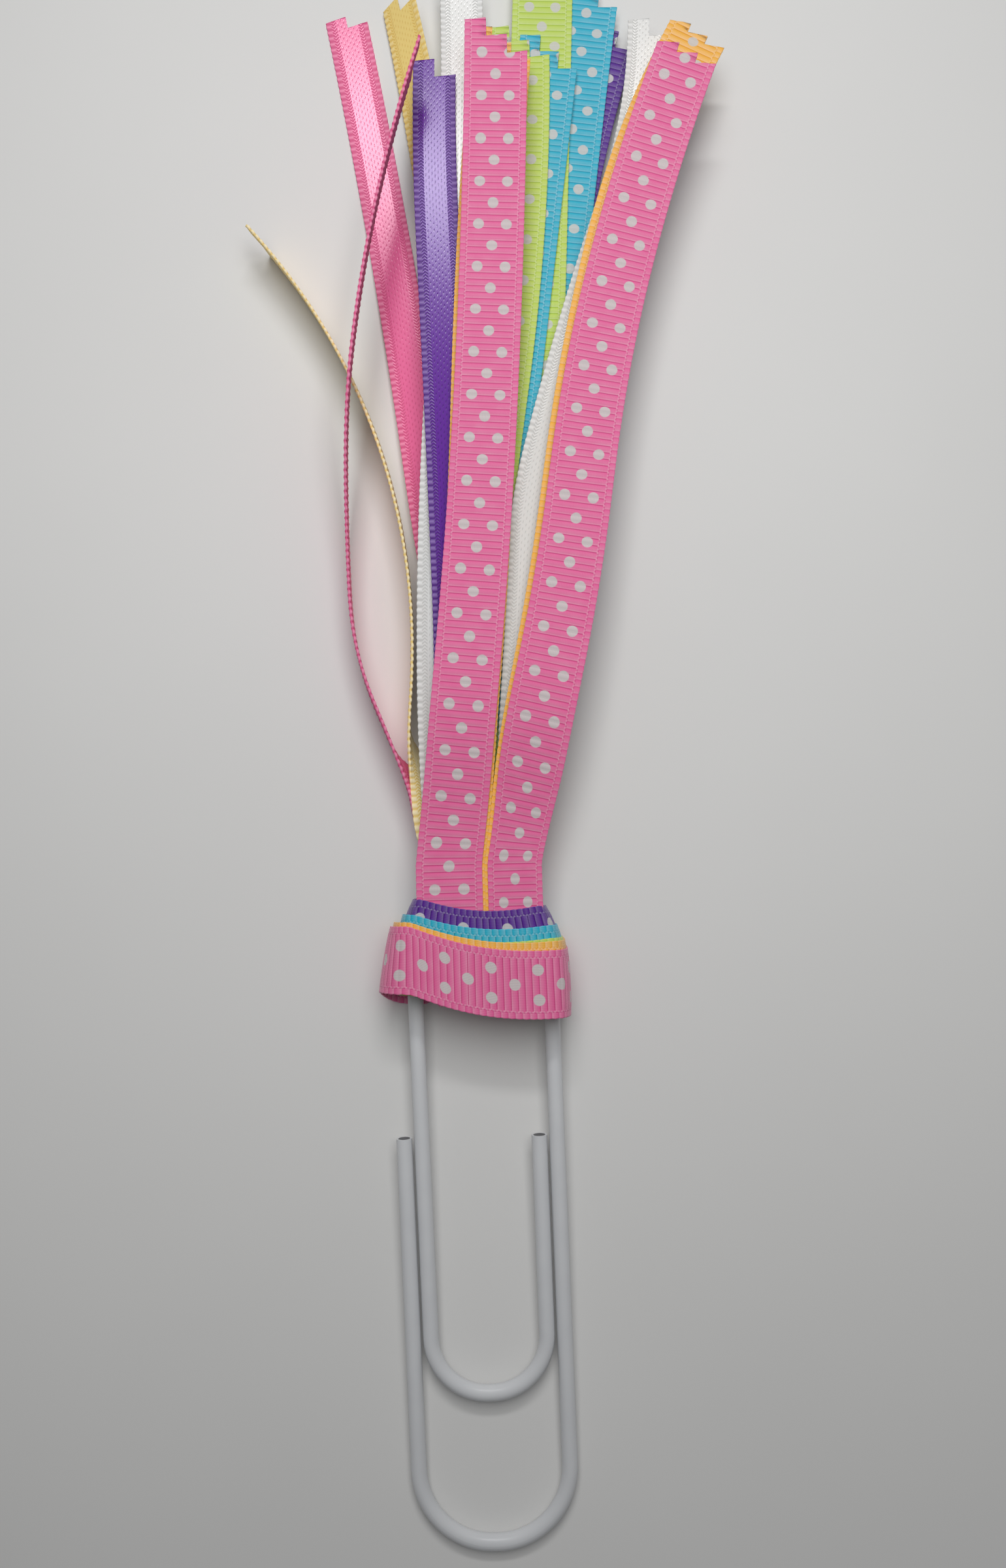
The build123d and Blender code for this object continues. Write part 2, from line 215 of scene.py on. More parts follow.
def smooth(t):
    """Eases from 0 to 1, level at both ends."""
    t = min(max(t, 0.0), 1.0)
    return t * t * t * (10 - 15 * t + 6 * t * t)


def layer_offsets():
    """How far each ribbon's middle lies outside the innermost face, and the thickness of the whole stack."""
    offsets = {}
    depth = 0.0
    for name in NAMES:
        thickness = RIBBONS[name].thickness
        offsets[name] = depth + thickness / 2
        depth += thickness + LAYER_GAP
    return offsets, depth - LAYER_GAP


OFFSETS, STACK = layer_offsets()
KNOT_BOTTOM = max(ribbon.drop + ribbon.width for ribbon in RIBBONS.values())
BACK_Z = STACK + TABLE_GAP
TAIL_RUN_Z = APEX_Z + WIRE_RADIUS + FLEX_ROOM
FRONT_Z = TAIL_RUN_Z + STACK + CROSSBAR_CLEARANCE
MIDDLE_Z = (BACK_Z + FRONT_Z) / 2
WRAP_HALF = TOP_HALF + KNOT_BOTTOM * tan(radians(RIGHT_LEG_SPLAY)) + WIRE_RADIUS + LEG_CLEARANCE


# Ribbon routes, as stations that the strip is drawn towards. Across turns steadily from one end to the other, and the
# crown is the height of the middle over the edges.

Station = namedtuple("Station", "centre across width crown", defaults=(0.0,))


def band_lift(x, skew):
    share = x / WRAP_HALF
    return BAND_SAG * share * share - skew * share


def leg_side(side, depth):
    """How far out a leg's outer side lies, at a depth below the top of the bend."""
    short = max(TOP_HALF - depth, 0.0)
    return sqrt((TOP_HALF + WIRE_RADIUS) ** 2 - short * short) + LEG_LEAN[side] * depth + LEG_SLACK


def band_station(name, x_at, z, lift, crown=0.0):
    """A station of the band round the legs, whose two edges lie where x_at puts them for their depth."""
    ribbon = RIBBONS[name]
    lower = ribbon.drop + ribbon.width
    top = Vector((x_at(ribbon.drop), lift - ribbon.drop, z))
    bottom = Vector((x_at(lower), lift - ribbon.drop - ribbon.width, z))
    return Station((top + bottom) / 2, (top - bottom).normalized(), ribbon.width, crown)


def half_hitch(name, side):
    """Stations from the middle of the crossbar round the leg, through the fold and up to the hinge line."""
    sign = SIDES[side]
    skew = RIBBONS[name].skew
    offset = OFFSETS[name]
    leg_x = sign * (WRAP_HALF - SIDE_BEND)
    front_lift = band_lift(leg_x, skew)
    back_lift = band_lift(leg_x, BACK_SKEW)
    if name == NAMES[-1] and side == "left":
        back_lift -= BACK_HANG
    stations = []

    def inner_x(depth):
        return sign * (leg_side(side, depth) - SIDE_BEND)

    for share in CROSSBAR_SHARES:
        lift = band_lift(share * leg_x, skew)
        stations.append(band_station(name, lambda depth: share * inner_x(depth), FRONT_Z + offset, lift))
    crown = CROWN * (1 - offset / STACK) + CROWN_LEAST
    rise = (FRONT_Z - BACK_Z) / 2 + offset
    for angle in BEND_ANGLES:
        out = cos(radians(angle)) * BEND_EASE
        up = sin(radians(angle)) * BEND_EASE
        lift = back_lift + (front_lift - back_lift) * min(1 + up, 1)

        def edge_x(depth):
            flare = SKIRT_FLARE[side] * (offset / STACK) ** 2 * (depth / KNOT_BOTTOM) ** 2
            return inner_x(depth) + sign * (SIDE_BEND + LAYER_PRESS * offset + flare) * out

        stations.append(band_station(name, edge_x, MIDDLE_Z + rise * up, lift, crown * out))
    stations.append(band_station(name, inner_x, BACK_Z - offset, back_lift))
    stations.append(band_station(name, lambda depth: sign * BACK_RUN_END, BACK_Z - offset, back_lift))
    return stations + fold(name, side, back_lift)


def fold(name, side, lift):
    """Stations of the diagonal fold behind the crossbar and of the run from it to the hinge line."""
    sign = SIDES[side]
    ribbon = RIBBONS[name]
    offset = OFFSETS[name]
    fold_z = (BACK_Z + TAIL_RUN_Z) / 2
    fold_rise = (TAIL_RUN_Z - BACK_Z) / 2
    nose = Vector((-sign, -1, 0)).normalized()
    along = Vector((-sign, 1, 0)).normalized()
    room = CENTRE_GAP / 2 + (FOLD_NOSE + STACK + DOTTED_WIDTH * FOLD_GATHER / 2) / sqrt(2)
    axis = Vector((sign * room, lift - ribbon.drop - ribbon.width / 2, fold_z))
    stations = []
    for angle in reversed(BEND_ANGLES):
        reach = cos(radians(angle)) * BEND_EASE
        up = sin(radians(angle)) * BEND_EASE
        centre = axis + nose * ((FOLD_NOSE + offset) * reach) + Vector((0, 0, (fold_rise + offset) * up))
        stations.append(Station(centre, along, ribbon.width * FOLD_GATHER))
    wrapped = [RIBBONS[other] for other in NAMES[NAMES.index(name):]]
    top = max(other.width * FOLD_GATHER / 2 / sqrt(2) - other.drop - other.width / 2 for other in wrapped)
    root_x, root_width = root(name, side)
    for y in (lift + top + TAIL_RUN_EASE, HINGE_Y - END_SLACK):
        centre = Vector((root_x, y, TAIL_RUN_Z + offset))
        stations.append(Station(centre, Vector((-sign, 0, 0)), root_width))
    return stations


def hitch_stations(name):
    """Stations of the whole loop, from where the left tail leaves it to where the right tail does."""
    middle = band_station(name, lambda depth: 0, FRONT_Z + OFFSETS[name], 0)
    return half_hitch(name, "left")[::-1] + [middle] + half_hitch(name, "right")


def root(name, side):
    """Middle and width of a tail where it comes out from under the crossbar."""
    centre, room = OWN_ROOT.get((name, side), ROOT[side])
    return centre, min(RIBBONS[name].width, room)


def tail_height(name, rank, y):
    """Height of a flat tail, from its layer at the hinge to its place in the pile. A curl starts half way along."""
    base = TAIL_RUN_Z + OFFSETS[name]
    along = (y - HINGE_Y) / DROOP_LENGTH
    droop = ROOT_DROOP * max(1 - along, 0) ** 2
    arch = TAIL_ARCH * rank / TOP_RANK * 4 * along * (1 - along)
    curl = TIP_CURL.get(name, 0.0) * max(2 * along - 1, 0) ** 2
    fanned = TABLE_GAP + droop + TAIL_PITCH * rank + max(arch, 0) + curl
    return base + (fanned - base) * smooth((y - HINGE_Y) / SPREAD_LENGTH)


def edge_height(name, turn_start, climb, run):
    """Height of the upper edge of a tail that turns on edge."""
    base = TAIL_RUN_Z + OFFSETS[name]
    ducked = base - EDGE_DUCK * smooth(run / EDGE_DUCK_LENGTH)
    standing = RIBBONS[name].width + TABLE_GAP
    risen = ducked + (standing - ducked) * smooth((run - turn_start - EDGE_RISE_LAG) / EDGE_RISE_LENGTH)
    return risen + climb * smooth((run - CLIMB_START) / CLIMB_LENGTH)


def tail_plan(name, side):
    """A tail's course from above, from the hinge line to the tip: (x, y, heading, run) at each station."""
    heading, arcs, _ = TAILS[name, side]
    x = SIDES[side] * CAD_ROOT_X
    y = HINGE_Y + END_SLACK
    run = 0.0
    longest_step = STATION_STEP
    if (name, side) in ON_EDGE:
        x -= root(name, side)[1] / 2
        longest_step = EDGE_STATION_STEP
    plan = [(x, y, heading, run)]
    for length, end_heading in arcs:
        steps = ceil(length / longest_step)
        step = length / steps
        turn = (end_heading - heading) / steps
        for _ in range(steps):
            middle = radians(heading + turn / 2)
            x += step * sin(middle)
            y += step * cos(middle)
            heading += turn
            run += step
            plan.append((x, y, heading, run))
    return plan


def tail_stations(name, side):
    """Stations from the hinge line to the tip."""
    rank = TAILS[name, side][2]
    on_edge = (name, side) in ON_EDGE
    turn_start, climb = ON_EDGE.get((name, side), (0.0, 0.0))
    width = RIBBONS[name].width
    root_x, root_width = root(name, side)
    shift = root_x - SIDES[side] * CAD_ROOT_X
    plan = tail_plan(name, side)
    points = []
    for x, y, _, run in plan:
        z = edge_height(name, turn_start, climb, run) if on_edge else tail_height(name, rank, y)
        points.append(Vector((x + shift * (1 - smooth(run / SPREAD_LENGTH)), y, z)))
    stations = []
    for index, (_, _, heading, run) in enumerate(plan):
        before = points[max(index - 1, 0)]
        after = points[min(index + 1, len(points) - 1)]
        level = Vector((cos(radians(heading)), -sin(radians(heading)), 0)) if index else Vector((1, 0, 0))
        upward = level.cross(after - before).normalized()
        roll = radians(np.interp(run, *ROLL[name, side])) if (name, side) in ROLL else 0.0
        if on_edge:
            roll *= smooth((run - turn_start) / EDGE_ROLL_LENGTH)
        across = level * cos(roll) - upward * sin(roll)
        gathered = root_width + (width - root_width) * smooth(run / GATHER_LENGTH)
        pivot = Vector((0, 0, 0)) if on_edge else level
        centre = points[index] + (across - pivot) * (gathered / 2)
        stations.append(Station(centre, across if side == "left" else -across, gathered))
    return stations


# Strips: two smooth rails carry a woven grid, whose ends are cut with pinking shears

def add(name, data):
    """A new object in the scene."""
    made = bpy.data.objects.new(name, data)
    bpy.context.scene.collection.objects.link(made)
    return made


def rail(places):
    """A smooth line drawn towards a list of points."""
    curve = bpy.data.curves.new("rail", "CURVE")
    curve.dimensions = "3D"
    spline = curve.splines.new("NURBS")
    spline.points.add(len(places) - 1)
    for point, place in zip(spline.points, places):
        point.co = (*place, 1)
    spline.order_u = 3
    spline.use_endpoint_u = True
    spline.resolution_u = 12
    holder = bpy.data.objects.new("rail", curve)
    mesh = bpy.data.meshes.new_from_object(holder)
    points = np.array([vertex.co for vertex in mesh.vertices])
    bpy.data.objects.remove(holder)
    bpy.data.meshes.remove(mesh)
    bpy.data.curves.remove(curve)
    return points


def pinked(across, width, tail):
    """How far the cloth stops short of a tail's tip, for stairs that go down to the right."""
    if tail is None:
        return np.zeros(len(across))
    fall, rise = OWN_STAIRS.get(tail, STAIRS)
    steps = round(width / TOOTH)
    tooth = width / steps
    from_top = across + width / 2 if tail[1] == "left" else width / 2 - across
    step = np.clip(np.floor(from_top / tooth), 0, steps - 1)
    return fall * step * tooth + rise * (1 - (from_top - step * tooth) / tooth)


def columns(width, selvage, body, line_reach):
    """Places of the lengthwise edges across a ribbon: in its body, at the stitched line and towards its edge."""
    half = width / 2
    line = half - selvage
    right = [*body, line - line_reach, line, line + line_reach, *(half - inset for inset in EDGE_INSETS)]
    return np.array([-x for x in reversed(right) if x] + right)


def dotted_relief(along, across):
    """Height of the ribs, the stitched lines and the beads on the edges, and how far the edges bulge."""
    phase = 2 * pi * along / RIB_PITCH
    edge = DOTTED_WIDTH / 2 - np.abs(across)
    line = np.exp(-((edge - SELVAGE) / LINE_REACH) ** 2)
    beads = np.exp(-(edge / EDGE_BEAD_REACH) ** 2)
    ribs = np.where(edge < SELVAGE, SELVAGE_RIB * np.cos(phase), -np.cos(phase)) * RIB_HEIGHT
    height = ribs * (1 - LINE_PRESS * line) + LINE_STITCH * line * np.cos(phase * 2)
    bulge = np.sign(across) * beads * EDGE_BEAD_BULGE * np.cos(phase)
    return height, bulge


def satin_relief(along, across):
    """Height of the bars on the selvages, the stitched lines and the beads, and how far the edges bulge."""
    phase = 2 * pi * along / BEAD_PITCH
    edge = SATIN_WIDTH / 2 - np.abs(across)
    line = np.exp(-((edge - SATIN_SELVAGE) / SATIN_LINE_REACH) ** 2)
    beads = np.exp(-(edge / SATIN_BEAD_REACH) ** 2)
    bars = np.where(edge < SATIN_SELVAGE, SATIN_BAR * np.cos(phase), 0.0)
    height = bars + SATIN_STITCH * line * np.cos(phase * 2) + SATIN_BEAD * beads * np.cos(phase)
    bulge = np.sign(across) * beads * SATIN_BEAD_BULGE * np.cos(phase)
    return height, bulge


Cloth = namedtuple("Cloth", "columns row_step relief")
STAIR_X = DOTTED_WIDTH / 6
DOTTED_BODY = (0.0, STAIR_X - RISER, STAIR_X + RISER, DOTTED_WIDTH / 2 - SELVAGE - BODY_INSET)
SATIN_BODY = (RISER, 0.8, 1.6)
DOTTED_COLUMNS = columns(DOTTED_WIDTH, SELVAGE, DOTTED_BODY, LINE_COLUMN)
SATIN_COLUMNS = columns(SATIN_WIDTH, SATIN_SELVAGE, SATIN_BODY, SATIN_LINE_COLUMN)
DOTTED_CLOTH = Cloth(DOTTED_COLUMNS, RIB_PITCH / RIB_ROWS, dotted_relief)
SATIN_CLOTH = Cloth(SATIN_COLUMNS, BEAD_PITCH / BEAD_ROWS, satin_relief)
TRIM_TOLERANCE = 1e-9


def strip(name, stations, width, thickness, cloth, cut_start=None, cut_end=None):
    """A woven strip along its stations, its middle line and its length. A cut end names the tail it is the tip of."""
    left = rail([station.centre - station.across * (station.width / 2) for station in stations])
    right = rail([station.centre + station.across * (station.width / 2) for station in stations])
    crowns = rail([(station.crown, 0, 0) for station in stations])[:, 0]
    middle = (left + right) / 2
    span = (right - left) / width
    run = np.concatenate(([0.0], np.cumsum(np.linalg.norm(np.diff(middle, axis=0), axis=1))))
    length = run[-1]

    # Flat grid, with its ends cut to stairs
    last_column = len(cloth.columns) - 1
    rows = 2 * round(length / cloth.row_step / 2)
    grid = bmesh.new()
    bmesh.ops.create_grid(grid, x_segments=last_column, y_segments=rows, size=0.5)
    grid.verts.ensure_lookup_table()
    flat = np.array([vertex.co for vertex in grid.verts]) + 0.5
    across = cloth.columns[np.rint(flat[:, 0] * last_column).astype(int)]
    uncut = flat[:, 1] * length
    first = pinked(across, width, cut_start)
    last = length - pinked(across, width, cut_end)
    along = np.clip(uncut, first, last)
    waste = (uncut < first - TRIM_TOLERANCE) | (uncut > last + TRIM_TOLERANCE)

    # The same grid laid on the rails, with its relief
    def on_line(values):
        return np.stack([np.interp(along, run, values[:, axis]) for axis in range(3)], axis=1)

    spread = on_line(span)
    forward = on_line(np.gradient(middle, run, axis=0))
    normal = np.cross(forward, spread)
    normal /= np.linalg.norm(normal, axis=1)[:, None]
    height, bulge = cloth.relief(along - length / 2, across)
    height += np.interp(along, run, crowns) * (1 - (2 * across / width) ** 2)
    points = on_line(middle) + spread * (across + bulge)[:, None] + normal * height[:, None]
    points = points * MM + ORIGIN

    trimmed = [face for face in grid.faces if all(waste[vertex.index] for vertex in face.verts)]
    bmesh.ops.delete(grid, geom=trimmed, context="FACES_ONLY")
    weave = grid.loops.layers.uv.new("weave")
    for vertex, point in zip(grid.verts, points):
        vertex.co = point
    for face in grid.faces:
        face.smooth = True
        for loop in face.loops:
            index = loop.vert.index
            loop[weave].uv = (across[index], along[index] - length / 2)
    loose = [vertex for vertex in grid.verts if not vertex.link_faces]
    bmesh.ops.delete(grid, geom=loose, context="VERTS")
    mesh = bpy.data.meshes.new(name)
    grid.to_mesh(mesh)
    grid.free()
    piece = add(name, mesh)
    wall = piece.modifiers.new("thickness", "SOLIDIFY")
    wall.thickness = thickness * MM
    wall.offset = 0
    return piece, middle * MM + ORIGIN, length * MM


# Helpers for materials

def feed(tree, socket, value):
    """Links a socket to another one, or sets its value. Colours come without alpha."""
    if isinstance(value, bpy.types.NodeSocket):
        tree.links.new(value, socket)
    else:
        socket.default_value = (*value, 1) if isinstance(value, tuple) else value


def node(tree, kind, **inputs):
    made = tree.nodes.new(kind)
    for label, value in inputs.items():
        feed(tree, made.inputs[label], value)
    return made


def calc(tree, operation, *values):
    made = tree.nodes.new("ShaderNodeMath")
    made.operation = operation
    for socket, value in zip(made.inputs, (*values, 0.0, 0.0)):
        feed(tree, socket, value)
    return made.outputs[0]


def mixed(tree, share, first, second):
    made = tree.nodes.new("ShaderNodeMix")
    made.data_type = "RGBA"
    for socket, value in zip((made.inputs[0], made.inputs[6], made.inputs[7]), (share, first, second)):
        feed(tree, socket, value)
    return made.outputs[2]


def noise(tree, where, scale, detail):
    return node(tree, "ShaderNodeTexNoise", Vector=where, Scale=scale, Detail=detail).outputs["Fac"]


def bounded(tree, value):
    return calc(tree, "MINIMUM", calc(tree, "MAXIMUM", value, 0.0), 1.0)


def varied(tree, value, share):
    """1 where the value is 1, and less by a share where it is 0."""
    return calc(tree, "MULTIPLY_ADD", value, share, 1 - share)


def peak(tree, value, middle, reach):
    """1 at the middle, falling to 0 at a reach on either side."""
    away = calc(tree, "ABSOLUTE", calc(tree, "SUBTRACT", value, middle))
    return calc(tree, "MAXIMUM", calc(tree, "MULTIPLY_ADD", away, -1.0 / reach, 1.0), 0.0)


def wave(tree, value, pitch, shift=0.0):
    return calc(tree, "COSINE", calc(tree, "MULTIPLY_ADD", value, 2 * pi / pitch, shift))


def half_wave(tree, value, pitch, shift=0.0):
    """A wave between 0 and 1."""
    return varied(tree, wave(tree, value, pitch, shift), 0.5)


def group(name, inputs, outputs):
    """A node group that takes a vector of millimetres across and along the ribbon, and some sizes."""
    tree = bpy.data.node_groups.new(name, "ShaderNodeTree")
    tree.interface.new_socket("Weave", in_out="INPUT", socket_type="NodeSocketVector")
    for label, default in inputs.items():
        socket = tree.interface.new_socket(label, in_out="INPUT", socket_type="NodeSocketFloat")
        socket.default_value = default
    for label in outputs:
        tree.interface.new_socket(label, in_out="OUTPUT", socket_type="NodeSocketFloat")
    start = tree.nodes.new("NodeGroupInput")
    parts = tree.nodes.new("ShaderNodeSeparateXYZ")
    tree.links.new(start.outputs["Weave"], parts.inputs[0])
    return tree, start.outputs, parts.outputs[0], parts.outputs[1], tree.nodes.new("NodeGroupOutput")


def use_group(tree, grouped, weave):
    made = tree.nodes.new("ShaderNodeGroup")
    made.node_tree = grouped
    tree.links.new(weave, made.inputs["Weave"])
    return made.outputs


def new_material(name):
    material = bpy.data.materials.new(name)
    material.use_nodes = True
    tree = material.node_tree
    return material, tree, tree.nodes["Principled BSDF"]


def weave_map(tree):
    made = tree.nodes.new("ShaderNodeUVMap")
    made.uv_map = "weave"
    return made.outputs[0]


def object_place(tree):
    return tree.nodes.new("ShaderNodeTexCoord").outputs["Object"]


def set_looks(tree, shader, looks):
    for label, value in looks.items():
        feed(tree, shader.inputs[label], value)


def bumped(tree, height, strength, depth):
    return node(tree, "ShaderNodeBump", Height=height, Strength=strength, Distance=depth * MM).outputs[0]


def lighter(colour, share):
    return tuple(c + (1 - c) * share for c in colour)


# Dotted grosgrain
DOT_SIZES = {"Radius": 0.86, "Half apart": 2.2, "Repeat": 7.0}
DOT_STEEPNESS = 9.0
DOT_EASE = 0.1
DOT_COLOUR = (0.62, 0.61, 0.59)
DOT_COVER = 0.82
DOT_THREAD_COVER = 0.14
THREAD_PITCH = 0.24
SELVAGE_STEEPNESS = 12.0
# Painted shade in the grooves between ribs: how steep its line is, and how much weaker it is on the selvage
GROOVE_STEEPNESS = 5.0
BODY_GROOVE = 0.6
# Painted highlight on each rib: a thin line (place, reach), and a lit side that fades across the rib
RIDGE_HIGHLIGHT = (0.20, 0.13)
RIDGE_THREAD = 0.5
RIB_SHADE = 0.6
STITCH_REACH = 0.17
# Painted shade in dark spots beside the stitched line
SEAM = (-0.13, 0.1)
THREAD_BUMP = 0.35
STITCH_BUMP = 0.7
# Noise that makes the painted rib highlight patchy
PATCHES = (0.35, 3.0)
PATCH_SHARE = 0.7
# How much lighter the painted rib highlight is
RIB_HIGHLIGHT = 0.24
RIB_HIGHLIGHT_BY_COLOUR = 0.28
# How far the grooves are painted towards the shade colour
GROOVE_SHADE = 0.8
# Painted highlight on the stitched beads: how strong, and how much lighter
STITCH_HIGHLIGHT = 0.6
STITCH_HIGHLIGHT_LIGHTER = 0.4
GROSGRAIN_ROUGHNESS = 0.46
GROOVE_ROUGHER = 0.15
GROSGRAIN_BUMP = (0.6, 0.06)
GROSGRAIN_LOOKS = {"Specular IOR Level": 0.3, "Sheen Weight": 0.2, "Sheen Roughness": 0.5}


def printed_dots():
    """White dots in rows of two and one."""
    tree, sizes, u, v, end = group("printed dots", DOT_SIZES, ["Dots"])
    repeat = sizes["Repeat"]
    half = calc(tree, "MULTIPLY", repeat, 0.5)

    def squared(value):
        return calc(tree, "POWER", calc(tree, "ABSOLUTE", value), 2.0)

    def dot(across, along):
        wrapped = calc(tree, "SUBTRACT", calc(tree, "FLOORED_MODULO", along, repeat), half)
        reach = calc(tree, "SQRT", calc(tree, "ADD", squared(across), squared(wrapped)))
        edge = calc(tree, "SUBTRACT", sizes["Radius"], reach)
        ramp = calc(tree, "MAXIMUM", calc(tree, "MULTIPLY_ADD", edge, DOT_STEEPNESS, 0.5), 0.0)
        return calc(tree, "SMOOTH_MIN", ramp, 1.0, DOT_EASE)

    pair = dot(calc(tree, "SUBTRACT", calc(tree, "ABSOLUTE", u), sizes["Half apart"]), v)
    single = dot(u, calc(tree, "ADD", v, half))
    tree.links.new(calc(tree, "MAXIMUM", pair, single), end.inputs["Dots"])
    return tree


def grosgrain_weave():
    """Ribs across the ribbon with a painted highlight on one side of each rib and painted shade in the grooves, with
    fine threads along it and a beaded selvage on each edge.
    """
    outputs = ["Groove", "Bright", "Thread", "Stitch", "Height"]
    tree, sizes, u, v, end = group("grosgrain weave", {"Half width": DOTTED_WIDTH / 2}, outputs)
    thread = half_wave(tree, u, THREAD_PITCH)
    line_u = calc(tree, "SUBTRACT", sizes["Half width"], SELVAGE)
    inset = calc(tree, "SUBTRACT", line_u, calc(tree, "ABSOLUTE", u))
    body = bounded(tree, calc(tree, "MULTIPLY_ADD", inset, SELVAGE_STEEPNESS, 0.5))

    # The selvage's beads lie half a rib further on than the ribs
    half_step = calc(tree, "MULTIPLY_ADD", body, -0.5, 0.5)
    along = calc(tree, "FRACT", calc(tree, "MULTIPLY_ADD", calc(tree, "ABSOLUTE", v), 1.0 / RIB_PITCH, half_step))
    # Painted shade: a dark line in each groove, weaker on the selvage, and dark spots beside the stitched line
    groove = calc(tree, "MULTIPLY_ADD", wave(tree, along, 1.0), GROOVE_STEEPNESS, 1 - GROOVE_STEEPNESS)
    groove = calc(tree, "MULTIPLY", bounded(tree, groove), varied(tree, body, BODY_GROOVE))
    # Painted highlight: a thin line on each rib broken by the threads, and a lit side fading across the rib
    ridge_highlight = calc(tree, "MULTIPLY", peak(tree, along, *RIDGE_HIGHLIGHT), varied(tree, thread, RIDGE_THREAD))
    painted_highlight = calc(tree, "MAXIMUM", ridge_highlight, calc(tree, "MULTIPLY_ADD", along, -RIB_SHADE, RIB_SHADE))
    stitch = calc(tree, "MULTIPLY", peak(tree, inset, 0.0, STITCH_REACH), half_wave(tree, v, RIB_PITCH / 2))
    seam = calc(tree, "MULTIPLY", peak(tree, inset, *SEAM), half_wave(tree, v, RIB_PITCH / 2, pi))
    dark = calc(tree, "MAXIMUM", groove, seam)
    height = calc(tree, "MULTIPLY_ADD", thread, THREAD_BUMP, calc(tree, "MULTIPLY", stitch, STITCH_BUMP))
    for label, value in zip(outputs, (dark, painted_highlight, thread, stitch, height)):
        tree.links.new(value, end.inputs[label])
    return tree


DOTS = printed_dots()
GROSGRAIN = grosgrain_weave()


def dotted_material(name, colour, shade_colour):
    material, tree, shader = new_material(name)
    uv = weave_map(tree)
    weave = use_group(tree, GROSGRAIN, uv)
    dots = use_group(tree, DOTS, uv)["Dots"]
    # Painted highlight on the ribs, patchy with noise
    painted_highlight = calc(tree, "MULTIPLY", weave["Bright"], varied(tree, noise(tree, uv, *PATCHES), PATCH_SHARE))
    cloth = mixed(tree, painted_highlight, colour, lighter(colour, RIB_HIGHLIGHT + RIB_HIGHLIGHT_BY_COLOUR * max(colour)))
    # Painted shade in the grooves and beside the stitched line
    cloth = mixed(tree, calc(tree, "MULTIPLY", weave["Groove"], GROOVE_SHADE), cloth, shade_colour)
    # Painted highlight on the stitched beads
    stitch = calc(tree, "MULTIPLY", weave["Stitch"], STITCH_HIGHLIGHT)
    cloth = mixed(tree, stitch, cloth, lighter(colour, STITCH_HIGHLIGHT_LIGHTER))
    cover = calc(tree, "MULTIPLY_ADD", weave["Thread"], DOT_THREAD_COVER, DOT_COVER)
    cloth = mixed(tree, calc(tree, "MULTIPLY", dots, cover), cloth, DOT_COLOUR)
    set_looks(tree, shader, {
        "Base Color": cloth,
        "Roughness": calc(tree, "MULTIPLY_ADD", weave["Groove"], GROOVE_ROUGHER, GROSGRAIN_ROUGHNESS),
        "Normal": bumped(tree, weave["Height"], *GROSGRAIN_BUMP),
        **GROSGRAIN_LOOKS,
    })
    return material


# Satin
FLECK_COLUMN_PITCH = 0.5
FLECK_PITCH = 1.1
FLECK_SLANT = 1.3
CHAIN_INSET = 0.38
CHAIN_REACH = 0.5
CHAIN_STEEPNESS = 4.0
SATIN_SELVAGE_STEEPNESS = 8.0
PLAIT_OVERLAP = 0.04
PLAIT_WIDTH = 0.42
PLAIT_SLANT = 0.9
BAR_BUMP = 0.8
FLECK_BUMP = 0.4
CHAIN_BUMP = 0.7
# Painted shade in the flecks, the chain and the gaps between the bars
FLECK_SHADE = 0.75
CHAIN_SHADE = 0.9
GAP_SHADE = 0.75
# Painted highlight on the selvage's bars: how strong, and how much lighter
BAR_HIGHLIGHT = 0.5
BAR_HIGHLIGHT_LIGHTER = 0.25
TINT_LIGHTER = 0.65
SATIN_ROUGHNESS = 0.2
SELVAGE_ROUGHER = 0.25
SATIN_BUMP = (0.5, 0.05)
SATIN_LOOKS = {"Sheen Weight": 0.05, "Sheen Roughness": 0.35}
SATIN_GLOSS = 0.8
DULL_GLOSS = 0.0
# Painted light: a tail on edge is lightened by this share of its green, as it gets less light
ON_EDGE_PAINTED_LIGHT = 0.4


